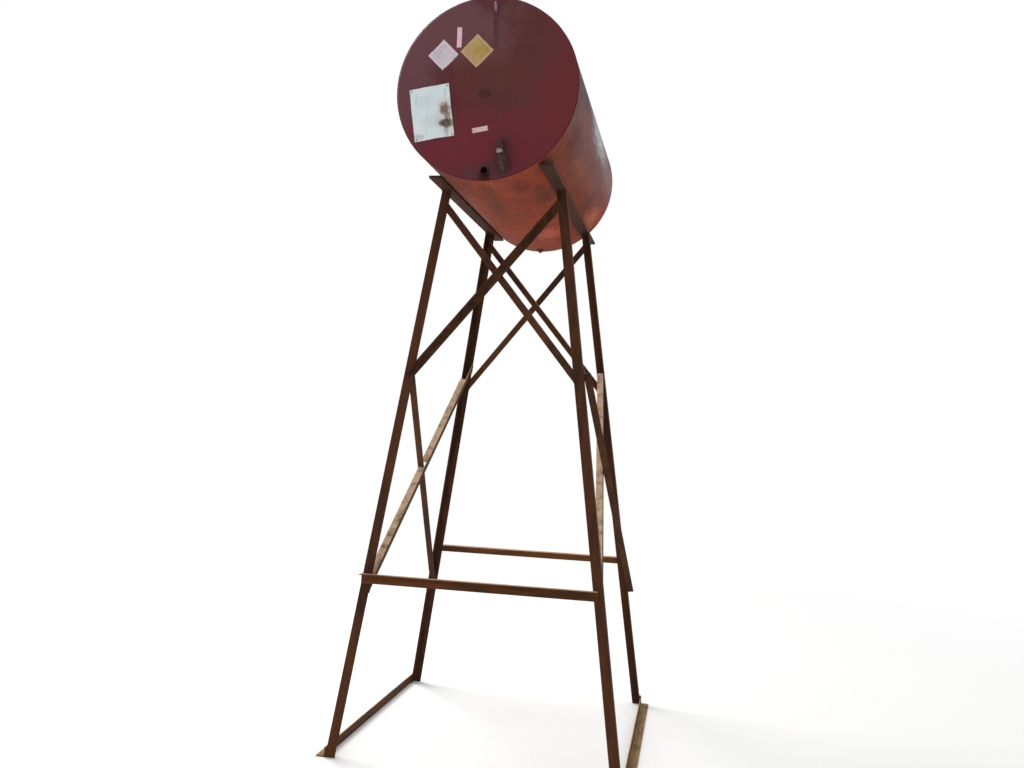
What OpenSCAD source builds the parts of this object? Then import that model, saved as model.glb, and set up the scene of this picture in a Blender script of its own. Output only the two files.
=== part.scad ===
// Horizontal cylindrical storage tank on a tall braced angle-iron stand.
// Millimetres. +Z is up, the outlet end of the tank faces -Y, and the floor is z = 0.

/* [Tank] */
// Outside diameter of the tank
tank_d = 914; // [800:1:1000]
// Overall length of the tank over its two heads
tank_l = 1780; // [1500:5:2000]
// Wall thickness of the rolled shell
shell_t = 3.4; // [2.5:0.1:6]
// Thickness of the pressed heads
head_t = 4; // [3:0.1:8]
// Outside radius where a head turns into its flange
knuckle_r = 12; // [9:1:25]
// Depth of the head flange that slips into the shell
flange_depth = 38; // [30:1:60]
// How far the middle of the tank sits forward of the middle of the stand
tank_forward = 149; // [60:1:200]

/* [Stand] */
// Height of the leg tops, where the rails rest
stand_h = 3016; // [2600:2:3400]
// Width over the legs at the floor
base_w = 1530; // [1300:2:1700]
// Length over the legs at the floor
base_l = 1510; // [1300:2:1700]
// Width over the legs at the top
top_w = 680; // [620:2:720]
// Length over the legs at the top
top_l = 1100; // [900:2:1200]
// Flange width of the leg angles
leg_w = 51; // [45:1:64]
// Thickness of the leg angles
leg_t = 5; // [4:0.5:6]

/* [Rails] */
// Width of the flat rails
rail_w = 64; // [50:1:76]
// Thickness of the flat rails
rail_t = 12; // [8:0.5:16]
// Left rail beyond the front legs
left_rail_front = 255; // [50:1:400]
// Left rail beyond the back legs
left_rail_back = 218; // [50:1:400]
// Right rail beyond the front legs
right_rail_front = 450; // [50:1:480]
// Right rail beyond the back legs
right_rail_back = 330; // [50:1:400]

/* [Skids] */
// Flange width of the skid angles
skid_w = 51; // [40:1:76]
// Thickness of the skid angles
skid_t = 5; // [4:0.5:8]

/* [Crossbars] */
// Height of the lower edges of the two crossbars
crossbar_low = 894; // [800:2:960]
// Flange width of the front crossbar
front_crossbar_w = 51; // [40:1:64]
// Flange width of the back crossbar
back_crossbar_w = 38; // [30:1:64]
// Thickness of the crossbars
crossbar_t = 5; // [4:0.5:7]
// How far a crossbar laps onto the right-hand leg
crossbar_lap = 24; // [15:1:40]

/* [End braces] */
// Height of the upper ends of the front and back braces
end_brace_top = 2940; // [2500:2:2950]
// Height of the lower ends of the front and back braces
end_brace_low = 1990; // [1500:2:2000]
// Flange width of the front and back braces
end_brace_w = 38; // [30:1:45]
// Thickness of the front and back braces
end_brace_t = 5; // [3:0.5:6]

/* [Side braces] */
// Height at which a side brace meets its front leg when it rises to that leg
front_brace_top = 2050; // [1960:2:2090]
// Height of the lower end of that brace, on the back leg
front_brace_low = 736; // [700:2:880]
// Height at which a side brace meets its back leg when it rises to that leg
back_brace_top = 2106; // [2100:2:2300]
// Height of the lower end of that brace on the left front leg
left_back_brace_low = 906; // [800:2:1100]
// Height of the lower end of that brace on the right front leg
right_back_brace_low = 940; // [800:2:1100]
// Flange width of the side braces
side_brace_w = 38; // [30:1:42]
// Thickness of the side braces
side_brace_t = 5; // [3:0.5:6]
// From the outer edge of a leg to the middle of a brace end
brace_inset = 30; // [28:1:34]
// Length cut away from the standing flange at the upper end of the left back brace
cope_l = 100; // [60:5:140]
// Play on each side of the notch where the left braces cross
notch_play = 4; // [2:0.5:8]

/* [Outlet] */
// Outlet to the right of the tank axis
outlet_x = 84; // [0:1:120]
// Outlet below the tank axis
outlet_drop = 282; // [200:1:290]
// Angle by which the valve hangs out of plumb
outlet_turn = 14; // [0:1:25]
// Outside diameter of the couplings on the head
coupling_d = 40; // [38:1:44]
// Length of the outlet coupling
coupling_l = 20; // [18:1:30]
// Outside diameter of the pipe threads
pipe_d = 33.4; // [30:0.1:34]
// Wall thickness of the pipe threads
pipe_t = 3.4; // [2:0.1:5]
// Bend radius of the elbow
elbow_r = 26; // [24:1:34]
// Outside diameter of the elbow
elbow_d = 38; // [37:1:44]
// Outside diameter of the band around the elbow's lower end
elbow_band_d = 44; // [42:1:50]
// Length of the band around the elbow's lower end
elbow_band_l = 14; // [13:1:20]
// Across the flats of the nipple's hexagon
nipple_hex = 38; // [36:1:46]
// Length of the nipple's hexagon
nipple_l = 22; // [14:1:30]
// Length of the valve body without its spout
valve_l = 66; // [60:1:80]
// Across the flats of the valve ends
valve_hex = 42; // [40:1:50]
// Outside diameter of the valve's spout
spout_d = 27; // [24:1:30]
// Length of the valve's spout
spout_l = 28; // [15:1:40]
// Length of the valve lever
lever_l = 62; // [50:1:90]

/* [Drain] */
// Drain to the right of the tank axis
drain_x = 10; // [0:1:60]
// Drain below the tank axis
drain_drop = 410; // [370:1:412]
// Length of the drain coupling
drain_l = 12; // [8:1:30]

/* [Belly plug] */
// From the back end of the shell to the plug in its belly
belly_plug_in = 60; // [50:1:200]
// Diameter of the plug
belly_plug_d = 36; // [30:1:44]
// How far the plug stands out of the shell
belly_plug_out = 10; // [6:1:20]

/* [Lifting lug] */
// Lug to the right of the tank axis
lug_x = 38; // [0:1:80]
// Lug above the tank axis
lug_rise = 392; // [300:1:400]
// Thickness of the lug plate
lug_t = 6; // [4:0.5:10]

/* [Top fittings] */
// Distance of the fill opening in front of the middle of the tank
fill_forward = 300; // [100:5:500]
// Outside diameter of the fill socket
fill_socket_d = 73; // [60:1:90]
// How far the fill and vent sockets stand above the shell
socket_rise = 30; // [20:1:50]
// Distance of the vent behind the middle of the tank
vent_back = 450; // [100:5:600]
// Outside diameter of the vent socket
vent_socket_d = 48; // [40:1:60]
// Wall thickness of the sockets
socket_t = 6; // [4:0.5:8]
// Thickness of the fill cap's top
fill_cap_t = 8; // [5:1:12]
// Thickness of the vent cap's top
vent_cap_t = 22; // [8:1:30]

/* [Hidden] */

// Clearance between curved or slipped faces of neighbouring pieces
slip = 0.3;
// Clearance of a screwed pipe thread
thread_slip = 0.2;
// Facets across the knuckle of a head
knuckle_steps = 8;
// Circle resolution
$fn = 96;

STEEL = [0.27, 0.17, 0.13];
SHELL_PAINT = [0.55, 0.24, 0.18];
HEAD_PAINT = [0.42, 0.12, 0.14];
BRASS = [0.62, 0.50, 0.28];
GALV = [0.62, 0.62, 0.60];

tank_r = tank_d / 2;
// The shell lies on the inner upper edges of the rails
cradle_x = top_w / 2 - rail_w;
cradle_z = rail_t + sqrt(pow(tank_r, 2) - pow(cradle_x, 2));
tank_z = stand_h + cradle_z + slip;
front_face_y = -tank_forward - tank_l / 2;
back_face_y = -tank_forward + tank_l / 2;
shell_l = tank_l - 2 * knuckle_r;

// Lean of the stand's faces from the vertical
end_lean = atan((base_l - top_l) / 2 / stand_h);
side_lean = atan((base_w - top_w) / 2 / stand_h);

// Fittings in front of the outlet head, measured from the coupling's axis down the valve's axis
thread_grip = 12;
stack_out = coupling_l + elbow_r;
nipple_start = elbow_r + elbow_band_l;
valve_start = nipple_start + nipple_l;
valve_middle = valve_start + valve_l / 2;
valve_end_l = valve_l * 0.3;
valve_waist = 4;
spout_wall = 3.5;
ball_d = valve_hex + 6;
boss_d = 22;
boss_out = ball_d / 2 + 3;
stem_d = 12;
stem_l = 12;
lever_t = 3;
lever_w = 18;
lever_eye_d = 24;
fittings_reach = stack_out + boss_out + stem_l + lever_t;

// Lifting lug: width, hole and how far its middle stands in front of the head
lug_w = 44;
lug_hole = 18;
lug_out = 24;

// Sockets and plug reach this far into the tank
socket_inside = 14;
plug_square_d = 22;
plug_square_h = 9;

// Caps: clearance skirt around the sockets, and the bar that turns the fill cap
cap_wall = 4;
fill_skirt = 16;
vent_skirt = 14;
wing_l = 52;
wing_w = 10;
wing_h = 12;

// The origin is on the floor under the middle of the whole part
front_reach = -front_face_y + fittings_reach;
rail_reach = top_l / 2 + max(left_rail_back, right_rail_back);
back_reach = max(base_l / 2, back_face_y, rail_reach);
stand_y = (front_reach - back_reach) / 2;

module from_stand() {
    translate([0, stand_y, 0]) children();
}

// Half the stand's width or length over the legs at a height
function half_at(base, top, z) = (base + (top - base) * z / stand_h) / 2;

// Section of a rolled angle: outer corner on the origin, flanges along +X and +Y
module angle_section(w, t) {
    root_r = t;
    difference() {
        square([w, w]);
        translate([t + root_r, t + root_r]) square([w, w]);
        translate([t + root_r, t]) square([w, root_r + 1]);
        translate([t, t + root_r]) square([root_r + 1, w]);
        translate([t + root_r, t + root_r]) circle(r = root_r, $fn = 24);
    }
}

// One face of the stand: X along it, Y up its slope, Z outwards from the legs' outer faces
module on_face(turn, base, lean) {
    from_stand() rotate([0, 0, turn]) translate([0, -base / 2, 0]) rotate([90 - lean, 0, 0])
        children();
}

module on_front() {
    on_face(0, base_l, end_lean) children();
}

module on_back() {
    on_face(180, base_l, end_lean) children();
}

module on_right() {
    on_face(90, base_w, side_lean) children();
}

module on_left() {
    on_face(-90, base_w, side_lean) children();
}

// Bar frame between two points of a face: X along the bar from p, Y across it, Z off the face
module along(p, q) {
    run = q - p;
    translate([p.x, p.y, 0]) rotate([0, 0, atan2(run.y, run.x)]) children();
}

// Angle bar between two points of a face: one flange lies flat on it, the other stands off the
// bar's upper edge, or off its lower edge when heel is -1
module face_bar(p, q, w, t, heel = 1) {
    along(p, q) translate([0, heel * w / 2, 0]) rotate([90, 0, 90])
        mirror([heel > 0 ? 1 : 0, 0, 0]) linear_extrude(norm(q - p)) angle_section(w, t);
}

// The same bar on the inside of the legs
module inner_face_bar(p, q, w, t, heel = 1) {
    translate([0, 0, -leg_t]) mirror([0, 0, 1]) face_bar(p, q, w, t, heel);
}

// A brace end on one leg of a face: side is -1 or 1, z its height
function brace_end(side, z, base, top, lean) =
    [side * (half_at(base, top, z) - brace_inset), z / cos(lean)];

function end_brace_end(side, z) = brace_end(side, z, base_w, top_w, end_lean);
function side_brace_end(side, z) = brace_end(side, z, base_l, top_l, side_lean);

// Leg angle that leans both ways, so that its flanges lie in two faces of the stand
module leg(side_x, side_y) {
    lean_x = -side_x * (base_w - top_w) / 2 / stand_h;
    lean_y = -side_y * (base_l - top_l) / 2 / stand_h;
    color(STEEL) from_stand() translate([side_x * base_w / 2, side_y * base_l / 2, 0])
        multmatrix([[1, 0, lean_x, 0], [0, 1, lean_y, 0], [0, 0, 1, 0], [0, 0, 0, 1]])
            linear_extrude(stand_h) leg_section(-side_x, -side_y);
}

// Level cut through a leg: inward_x and inward_y point into the stand
module leg_section(inward_x, inward_y) {
    side_t = leg_t / cos(side_lean);
    end_t = leg_t / cos(end_lean);
    outline = [[0, 0], [leg_w, 0], [leg_w, end_t], [side_t, end_t], [side_t, leg_w], [0, leg_w]];
    polygon([for (p = outline) [p.x * inward_x, p.y * inward_y]]);
}

module front_left_leg() leg(-1, -1);
module front_right_leg() leg(1, -1);
module back_left_leg() leg(-1, 1);
module back_right_leg() leg(1, 1);

// Skid under one side: upright flange against the feet, flat flange outwards on the floor
module skid(side) {
    color(STEEL) from_stand() translate([side * base_w / 2, 0, 0])
        mirror([side < 0 ? 1 : 0, 0, 0]) rotate([90, 0, 0])
            linear_extrude(base_l, center = true) angle_section(skid_w, skid_t);
}

module left_skid() skid(-1);
module right_skid() skid(1);

// Crossbar on the outside of two legs, flush with one and lapping the other
module crossbar(flush_side, w) {
    z = crossbar_low / cos(end_lean) + w / 2;
    half = half_at(base_w, top_w, crossbar_low + w / 2);
    far = half - leg_w + crossbar_lap;
    ends = flush_side < 0 ? [-half, far] : [-far, half];
    color(STEEL) face_bar([ends[0], z], [ends[1], z], w, crossbar_t);
}

module front_crossbar() on_front() crossbar(-1, front_crossbar_w);
module back_crossbar() on_back() crossbar(1, back_crossbar_w);

module front_outer_brace() {
    color(STEEL) on_front() face_bar(end_brace_end(-1, end_brace_low), end_brace_end(1, end_brace_top),
        end_brace_w, end_brace_t);
}

module front_inner_brace() {
    color(STEEL) on_front() inner_face_bar(end_brace_end(-1, end_brace_top),
        end_brace_end(1, end_brace_low), end_brace_w, end_brace_t);
}

// On the back face X runs towards the left
module back_outer_brace() {
    color(STEEL) on_back() face_bar(end_brace_end(-1, end_brace_top), end_brace_end(1, end_brace_low),
        end_brace_w, end_brace_t);
}

module back_inner_brace() {
    color(STEEL) on_back() inner_face_bar(end_brace_end(-1, end_brace_low),
        end_brace_end(1, end_brace_top), end_brace_w, end_brace_t);
}

// On the left face X runs towards the front, and on the right face towards the back
left_front_low_end = side_brace_end(-1, front_brace_low);
left_front_top_end = side_brace_end(1, front_brace_top);
left_back_top_end = side_brace_end(-1, back_brace_top);
left_back_low_end = side_brace_end(1, left_back_brace_low);

module left_front_brace() {
    color(STEEL) on_left() inner_face_bar(left_front_low_end, left_front_top_end,
        side_brace_w, side_brace_t, -1);
}

// This brace lies between the left legs, its flat flange in line with the toes of their end flanges.
// Its standing flange is coped at the top and notched around the left front brace, and its ends
// are cut to butt against the insides of the end flanges.
module left_back_brace() {
    extra = 2 * leg_w;
    over = extra * (left_back_low_end - left_back_top_end) / norm(left_back_low_end - left_back_top_end);
    p = left_back_top_end - over;
    q = left_back_low_end + over;
    notch_w = side_brace_w + 2 * notch_play;
    notch_floor = side_brace_t + 1;
    color(STEEL) difference() {
        on_left() translate([0, 0, -leg_w]) difference() {
            face_bar(p, q, side_brace_w, side_brace_t);
            along(p, q) translate([0, -side_brace_w, notch_floor])
                cube([extra + cope_l, 2 * side_brace_w, leg_w]);
            along(left_front_low_end, left_front_top_end) translate([0, -notch_w / 2, notch_floor])
                cube([norm(left_front_top_end - left_front_low_end), notch_w, leg_w]);
        }
        on_front() outside_end_flanges();
        on_back() outside_end_flanges();
    }
}

// Block that starts at the inside of the end flanges of two legs
module outside_end_flanges() {
    translate([-base_w, 0, -leg_t - slip]) cube([2 * base_w, 2 * stand_h, base_l]);
}

module right_front_brace() {
    color(STEEL) on_right() face_bar(side_brace_end(-1, front_brace_top),
        side_brace_end(1, front_brace_low), side_brace_w, side_brace_t, -1);
}

module right_back_brace() {
    color(STEEL) on_right() inner_face_bar(side_brace_end(-1, right_back_brace_low),
        side_brace_end(1, back_brace_top), side_brace_w, side_brace_t);
}

// Flat bar across the tops of the two legs of one side
module rail(side, front, back) {
    color(STEEL) from_stand()
        translate([side * (top_w - rail_w) / 2, (back - front) / 2, stand_h + rail_t / 2])
            cube([rail_w, front + top_l + back, rail_t], center = true);
}

module left_rail() rail(-1, left_rail_front, left_rail_back);
module right_rail() rail(1, right_rail_front, right_rail_back);

// Tank frame: origin in the middle of the tank, Z along its axis towards the outlet head
module on_tank() {
    from_stand() translate([0, -tank_forward, tank_z]) rotate([90, 0, 0]) children();
}

// Hole or socket on the top line of the shell, y measured forwards from the middle of the tank
module on_top(forward) {
    from_stand() translate([0, -tank_forward - forward, tank_z]) children();
}

// Bottom line of the shell near its back end, Z pointing down from the tank's axis
module under_belly() {
    on_top(-shell_l / 2 + belly_plug_in) rotate([180, 0, 0]) children();
}

module tank_shell() {
    color(SHELL_PAINT) difference() {
        on_tank() difference() {
            cylinder(r = tank_r, h = shell_l, center = true, $fn = 180);
            cylinder(r = tank_r - shell_t, h = shell_l + 2, center = true, $fn = 180);
        }
        on_top(fill_forward) cylinder(d = fill_socket_d + 2 * slip, h = tank_r + 50);
        on_top(-vent_back) cylinder(d = vent_socket_d + 2 * slip, h = tank_r + 50);
        under_belly() cylinder(d = belly_plug_d + 2 * slip, h = tank_r + 50);
    }
}

// Quarter arc of the knuckle, from the flange round to the face
function knuckle_arc(r, middle) =
    [for (i = [0:knuckle_steps]) middle + r * [cos(90 * i / knuckle_steps), sin(90 * i / knuckle_steps)]];

// Flat pressed head: a disc whose rounded edge turns into a flange inside the shell
module head() {
    r = tank_r - shell_t - slip;
    face_z = tank_l / 2;
    flange_z = face_z - knuckle_r - flange_depth;
    middle = [r - knuckle_r, face_z - knuckle_r];
    outside = knuckle_arc(knuckle_r, middle);
    inside = knuckle_arc(knuckle_r - head_t, middle);
    rotate_extrude($fn = 180) polygon(concat([[r, flange_z]], outside, [[0, face_z], [0, face_z - head_t]],
        [for (i = [knuckle_steps:-1:0]) inside[i]], [[r - head_t, flange_z]]));
}

module front_head() {
    color(HEAD_PAINT) on_tank() difference() {
        head();
        translate([outlet_x, -outlet_drop, tank_l / 2]) cylinder(d = pipe_d, h = 40, center = true);
        translate([drain_x, -drain_drop, tank_l / 2]) cylinder(d = pipe_d, h = 40, center = true);
    }
}

module back_head() {
    color(SHELL_PAINT) on_tank() mirror([0, 0, 1]) head();
}

// Fittings on the outlet head: Z points out of the head from its face
module on_outlet() {
    on_tank() translate([outlet_x, -outlet_drop, tank_l / 2]) rotate([0, 0, outlet_turn]) children();
}

// Hanging fittings: Z points down the valve's axis from the height of the coupling, Y out of the head
module on_stack() {
    on_outlet() translate([0, 0, stack_out]) rotate([90, 0, 0]) children();
}

module coupling(l) {
    difference() {
        cylinder(d = coupling_d, h = l);
        translate([0, 0, -1]) cylinder(d = pipe_d + 2 * thread_slip, h = l + 2);
    }
}

module outlet_coupling() {
    color(STEEL) on_outlet() coupling(coupling_l);
}

// Quarter of a ring from the coupling's axis down to the valve's axis
module elbow_bend(d) {
    translate([0, -elbow_r, coupling_l]) rotate([90, 0, 90])
        rotate_extrude(angle = 90) translate([elbow_r, 0]) circle(d = d);
}

// Elbow whose upper end screws into the coupling and whose lower end takes the nipple
module outlet_elbow() {
    bore_d = pipe_d - 2 * pipe_t;
    color(STEEL) difference() {
        union() {
            on_outlet() translate([0, 0, coupling_l - thread_grip]) cylinder(d = pipe_d, h = thread_grip);
            on_outlet() elbow_bend(elbow_d);
            on_stack() translate([0, 0, elbow_r]) cylinder(d = elbow_band_d, h = elbow_band_l);
        }
        on_outlet() translate([0, 0, coupling_l - thread_grip - 1]) cylinder(d = bore_d, h = thread_grip + 1);
        on_outlet() elbow_bend(bore_d);
        on_stack() translate([0, 0, elbow_r]) cylinder(d = bore_d, h = elbow_band_l);
        on_stack() translate([0, 0, nipple_start - thread_grip])
            cylinder(d = pipe_d + 2 * thread_slip, h = thread_grip + 1);
    }
}

// Hexagon nipple: threads up into the elbow and down into the valve
module outlet_nipple() {
    color(GALV) on_stack() difference() {
        union() {
            translate([0, 0, nipple_start - thread_grip])
                cylinder(d = pipe_d, h = nipple_l + 2 * thread_grip);
            translate([0, 0, nipple_start]) cylinder(d = nipple_hex / cos(30), h = nipple_l, $fn = 6);
        }
        cylinder(d = pipe_d - 2 * pipe_t, h = valve_middle);
    }
}

module outlet_valve() {
    color(BRASS) on_stack() translate([0, 0, valve_start]) difference() {
        union() {
            cylinder(d = valve_hex / cos(30), h = valve_end_l, $fn = 6);
            translate([0, 0, valve_l - valve_end_l])
                cylinder(d = valve_hex / cos(30), h = valve_end_l, $fn = 6);
            cylinder(d = valve_hex - valve_waist, h = valve_l);
            translate([0, 0, valve_l / 2]) sphere(d = ball_d);
            translate([0, 0, valve_l / 2]) rotate([-90, 0, 0]) cylinder(d = boss_d, h = boss_out);
            cylinder(d = spout_d, h = valve_l + spout_l);
        }
        translate([0, 0, -1]) cylinder(d = pipe_d + 2 * thread_slip, h = thread_grip + slip + 1);
        cylinder(d = spout_d - 2 * spout_wall, h = valve_l + spout_l + 1);
    }
}

// Stem and lever stand on the side of the valve that faces away from the head
module valve_stem() {
    color(BRASS) on_stack() translate([0, boss_out, valve_middle])
        rotate([-90, 0, 0]) cylinder(d = stem_d, h = stem_l);
}

module valve_lever() {
    color(STEEL) on_stack() translate([0, boss_out + stem_l, valve_middle])
        rotate([-90, 0, 0]) linear_extrude(lever_t) {
            translate([-lever_w / 2, -lever_l + lever_w / 2]) square([lever_w, lever_l - lever_w / 2]);
            translate([0, -lever_l + lever_w / 2]) circle(d = lever_w);
            circle(d = lever_eye_d);
        }
}

module drain_coupling() {
    color(STEEL) on_tank() translate([drain_x, -drain_drop, tank_l / 2]) coupling(drain_l);
}

// Plate lug standing out of the outlet head, with a lifting hole
module lifting_lug() {
    color(STEEL) on_tank() translate([lug_x - lug_t / 2, lug_rise, tank_l / 2]) rotate([90, 0, 90])
        linear_extrude(lug_t) difference() {
            union() {
                translate([-lug_w / 2, 0]) square([lug_w, lug_out]);
                translate([0, lug_out]) circle(d = lug_w);
            }
            translate([0, lug_out]) circle(d = lug_hole);
        }
}

module belly_plug() {
    color(STEEL) under_belly() translate([0, 0, tank_r - socket_inside]) {
        cylinder(d = belly_plug_d, h = socket_inside + belly_plug_out);
        cylinder(d = plug_square_d, h = socket_inside + belly_plug_out + plug_square_h, $fn = 4);
    }
}

// Pipe socket welded through the top of the shell
module socket(d) {
    translate([0, 0, tank_r - socket_inside]) difference() {
        cylinder(d = d, h = socket_inside + socket_rise);
        translate([0, 0, -1]) cylinder(d = d - 2 * socket_t, h = socket_inside + socket_rise + 2);
    }
}

module fill_socket() {
    color(STEEL) on_top(fill_forward) socket(fill_socket_d);
}

module vent_socket() {
    color(STEEL) on_top(-vent_back) socket(vent_socket_d);
}

// Cap lying on a socket, with a skirt around it
module cap(d, top_t, skirt) {
    inner = d + 2 * slip;
    outer = inner + 2 * cap_wall;
    translate([0, 0, tank_r + socket_rise - skirt]) difference() {
        cylinder(d = outer, h = skirt + top_t);
        translate([0, 0, -1]) cylinder(d = inner, h = skirt + 1);
    }
}

module fill_cap() {
    color(GALV) on_top(fill_forward) {
        cap(fill_socket_d, fill_cap_t, fill_skirt);
        translate([-wing_l / 2, -wing_w / 2, tank_r + socket_rise + fill_cap_t])
            cube([wing_l, wing_w, wing_h]);
    }
}

module vent_cap() {
    color(GALV) on_top(-vent_back) cap(vent_socket_d, vent_cap_t, vent_skirt);
}

left_skid();
right_skid();
front_left_leg();
front_right_leg();
back_left_leg();
back_right_leg();
front_crossbar();
back_crossbar();
front_outer_brace();
front_inner_brace();
back_outer_brace();
back_inner_brace();
left_front_brace();
left_back_brace();
right_front_brace();
right_back_brace();
left_rail();
right_rail();
tank_shell();
front_head();
back_head();
outlet_coupling();
outlet_elbow();
outlet_nipple();
outlet_valve();
valve_stem();
valve_lever();
drain_coupling();
lifting_lug();
belly_plug();
fill_socket();
fill_cap();
vent_socket();
vent_cap();
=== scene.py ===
import math
import random
import bmesh
import bpy
from mathutils import Matrix, Vector


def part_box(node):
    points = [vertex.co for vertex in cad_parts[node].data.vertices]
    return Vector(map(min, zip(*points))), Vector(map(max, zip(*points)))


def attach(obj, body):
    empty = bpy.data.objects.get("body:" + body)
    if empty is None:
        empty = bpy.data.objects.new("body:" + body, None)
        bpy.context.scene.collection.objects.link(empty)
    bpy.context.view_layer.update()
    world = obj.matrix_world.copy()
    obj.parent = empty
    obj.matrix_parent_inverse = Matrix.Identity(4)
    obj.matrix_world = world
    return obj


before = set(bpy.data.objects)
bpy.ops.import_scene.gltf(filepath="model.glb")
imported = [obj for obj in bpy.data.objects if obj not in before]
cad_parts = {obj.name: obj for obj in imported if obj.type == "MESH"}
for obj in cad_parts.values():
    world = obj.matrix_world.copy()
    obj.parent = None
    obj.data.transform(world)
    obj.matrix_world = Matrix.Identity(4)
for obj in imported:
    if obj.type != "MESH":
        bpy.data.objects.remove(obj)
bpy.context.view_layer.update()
scene = bpy.context.scene

# Camera: at eye height in front of the right-hand legs. It looks slightly up and to the left,
# with a small roll, as the photograph does.
skid_low, skid_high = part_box("left_skid")
stand_middle = (skid_low.y + skid_high.y) / 2
camera_place = Vector((1.060, stand_middle - 5.3015, 1.744))
camera_turn = 0.2005
camera_pitch = 0.0474
camera_roll = 0.0435
focal_pixels = 914.8
photo_width = 1024
forward = Vector((
    -math.sin(camera_turn) * math.cos(camera_pitch),
    math.cos(camera_turn) * math.cos(camera_pitch),
    math.sin(camera_pitch),
))
level = Vector((math.cos(camera_turn), math.sin(camera_turn), 0.0))
upright = level.cross(forward)
right = level * math.cos(camera_roll) + upright * math.sin(camera_roll)
up = upright * math.cos(camera_roll) - level * math.sin(camera_roll)
camera_data = bpy.data.cameras.new("camera")
camera_data.sensor_width = 36.0
camera_data.lens = focal_pixels * camera_data.sensor_width / photo_width
camera = bpy.data.objects.new("camera", camera_data)
scene.collection.objects.link(camera)
axes = Matrix((right, up, -forward)).transposed()
camera.matrix_world = Matrix.Translation(camera_place) @ axes.to_4x4()
scene.camera = camera


# Skids: two lengths of 2 inch angle that the feet are welded to. Bare mill steel that has
# rusted to a dull brown, paler on what faces up from dust and from painted sunlight, with
# rusty weld beads round the feet.
def put(tree, kind, inputs=None, **options):
    """Adds a node: inputs are numbers, colours or other nodes' outputs."""
    made = tree.nodes.new("ShaderNode" + kind)
    for option, value in options.items():
        setattr(made, option, value)
    for socket, value in (inputs or {}).items():
        if isinstance(value, bpy.types.NodeSocket):
            tree.links.new(value, made.inputs[socket])
        else:
            made.inputs[socket].default_value = value
    return made


def new_finish(name):
    """Starts a material: its nodes, its shader, and the place on the piece that a pattern follows."""
    material = bpy.data.materials.new(name)
    material.use_nodes = True
    tree = material.node_tree
    return material, tree, tree.nodes["Principled BSDF"], put(tree, "TexCoord").outputs["Object"]


def grain(tree, place, scale, detail=5.0, rough=0.55, twist=0.0):
    """An uneven pattern from 0 to 1, about scale blots to the metre."""
    return put(tree, "TexNoise", {"Vector": place, "Scale": scale, "Detail": detail, "Roughness": rough,
                                  "Distortion": twist}).outputs["Fac"]


def window(tree, value, low, high):
    """A soft step: 0 at low and 1 at high, whichever of them is the larger."""
    return put(tree, "MapRange", {"Value": value, "From Min": low, "From Max": high},
               interpolation_type="SMOOTHSTEP").outputs["Result"]


def spread(tree, value, low, high, least, most):
    """Stretches what lies from low to high so that it lies from least to most."""
    return put(tree, "MapRange", {"Value": value, "From Min": low, "From Max": high, "To Min": least,
                                  "To Max": most}).outputs["Result"]


def swing(tree, pattern, reach):
    """Turns a pattern from 0 to 1 into one that swings that far both ways."""
    return spread(tree, pattern, 0.0, 1.0, -reach, reach)


def sums(tree, kind, first, second):
    return put(tree, "Math", {0: first, 1: second}, operation=kind).outputs["Value"]


def plus(tree, first, second):
    return sums(tree, "ADD", first, second)


def times(tree, first, second):
    return sums(tree, "MULTIPLY", first, second)


def coat(tree, mask, under, over, depth=1.0):
    """Lays one colour over another where the mask is 1: depth is how well it covers."""
    if depth != 1.0:
        mask = times(tree, mask, depth)
    mix = put(tree, "Mix", data_type="RGBA")
    for socket, value in ((0, mask), (6, under), (7, over)):
        if isinstance(value, bpy.types.NodeSocket):
            tree.links.new(value, mix.inputs[socket])
        else:
            mix.inputs[socket].default_value = (*value, 1.0) if isinstance(value, tuple) else value
    return mix.outputs[2]


def stretched(tree, place, factors):
    return put(tree, "VectorMath", {0: place, 1: factors}, operation="MULTIPLY").outputs["Vector"]


def rounding(tree, radius):
    """A soft edge of that radius for the light, and a mask that is 1 along the edges."""
    soft = put(tree, "Bevel", {"Radius": radius}, samples=4).outputs["Normal"]
    plain = put(tree, "NewGeometry").outputs["Normal"]
    alike = put(tree, "VectorMath", {0: soft, 1: plain}, operation="DOT_PRODUCT").outputs["Value"]
    return soft, window(tree, alike, 0.995, 0.80)


def finish_off(tree, shader, colour, rough, relief, gloss, strength, height, soft=None):
    """Gives a finish its colour, roughness and gloss, and a relief of up to that height."""
    tree.links.new(colour, shader.inputs["Base Color"])
    tree.links.new(rough, shader.inputs["Roughness"])
    shader.inputs["Specular IOR Level"].default_value = gloss
    bump = put(tree, "Bump", {"Strength": strength, "Distance": height, "Height": relief})
    if soft:
        tree.links.new(soft, bump.inputs["Normal"])
    tree.links.new(bump.outputs["Normal"], shader.inputs["Normal"])


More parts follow.
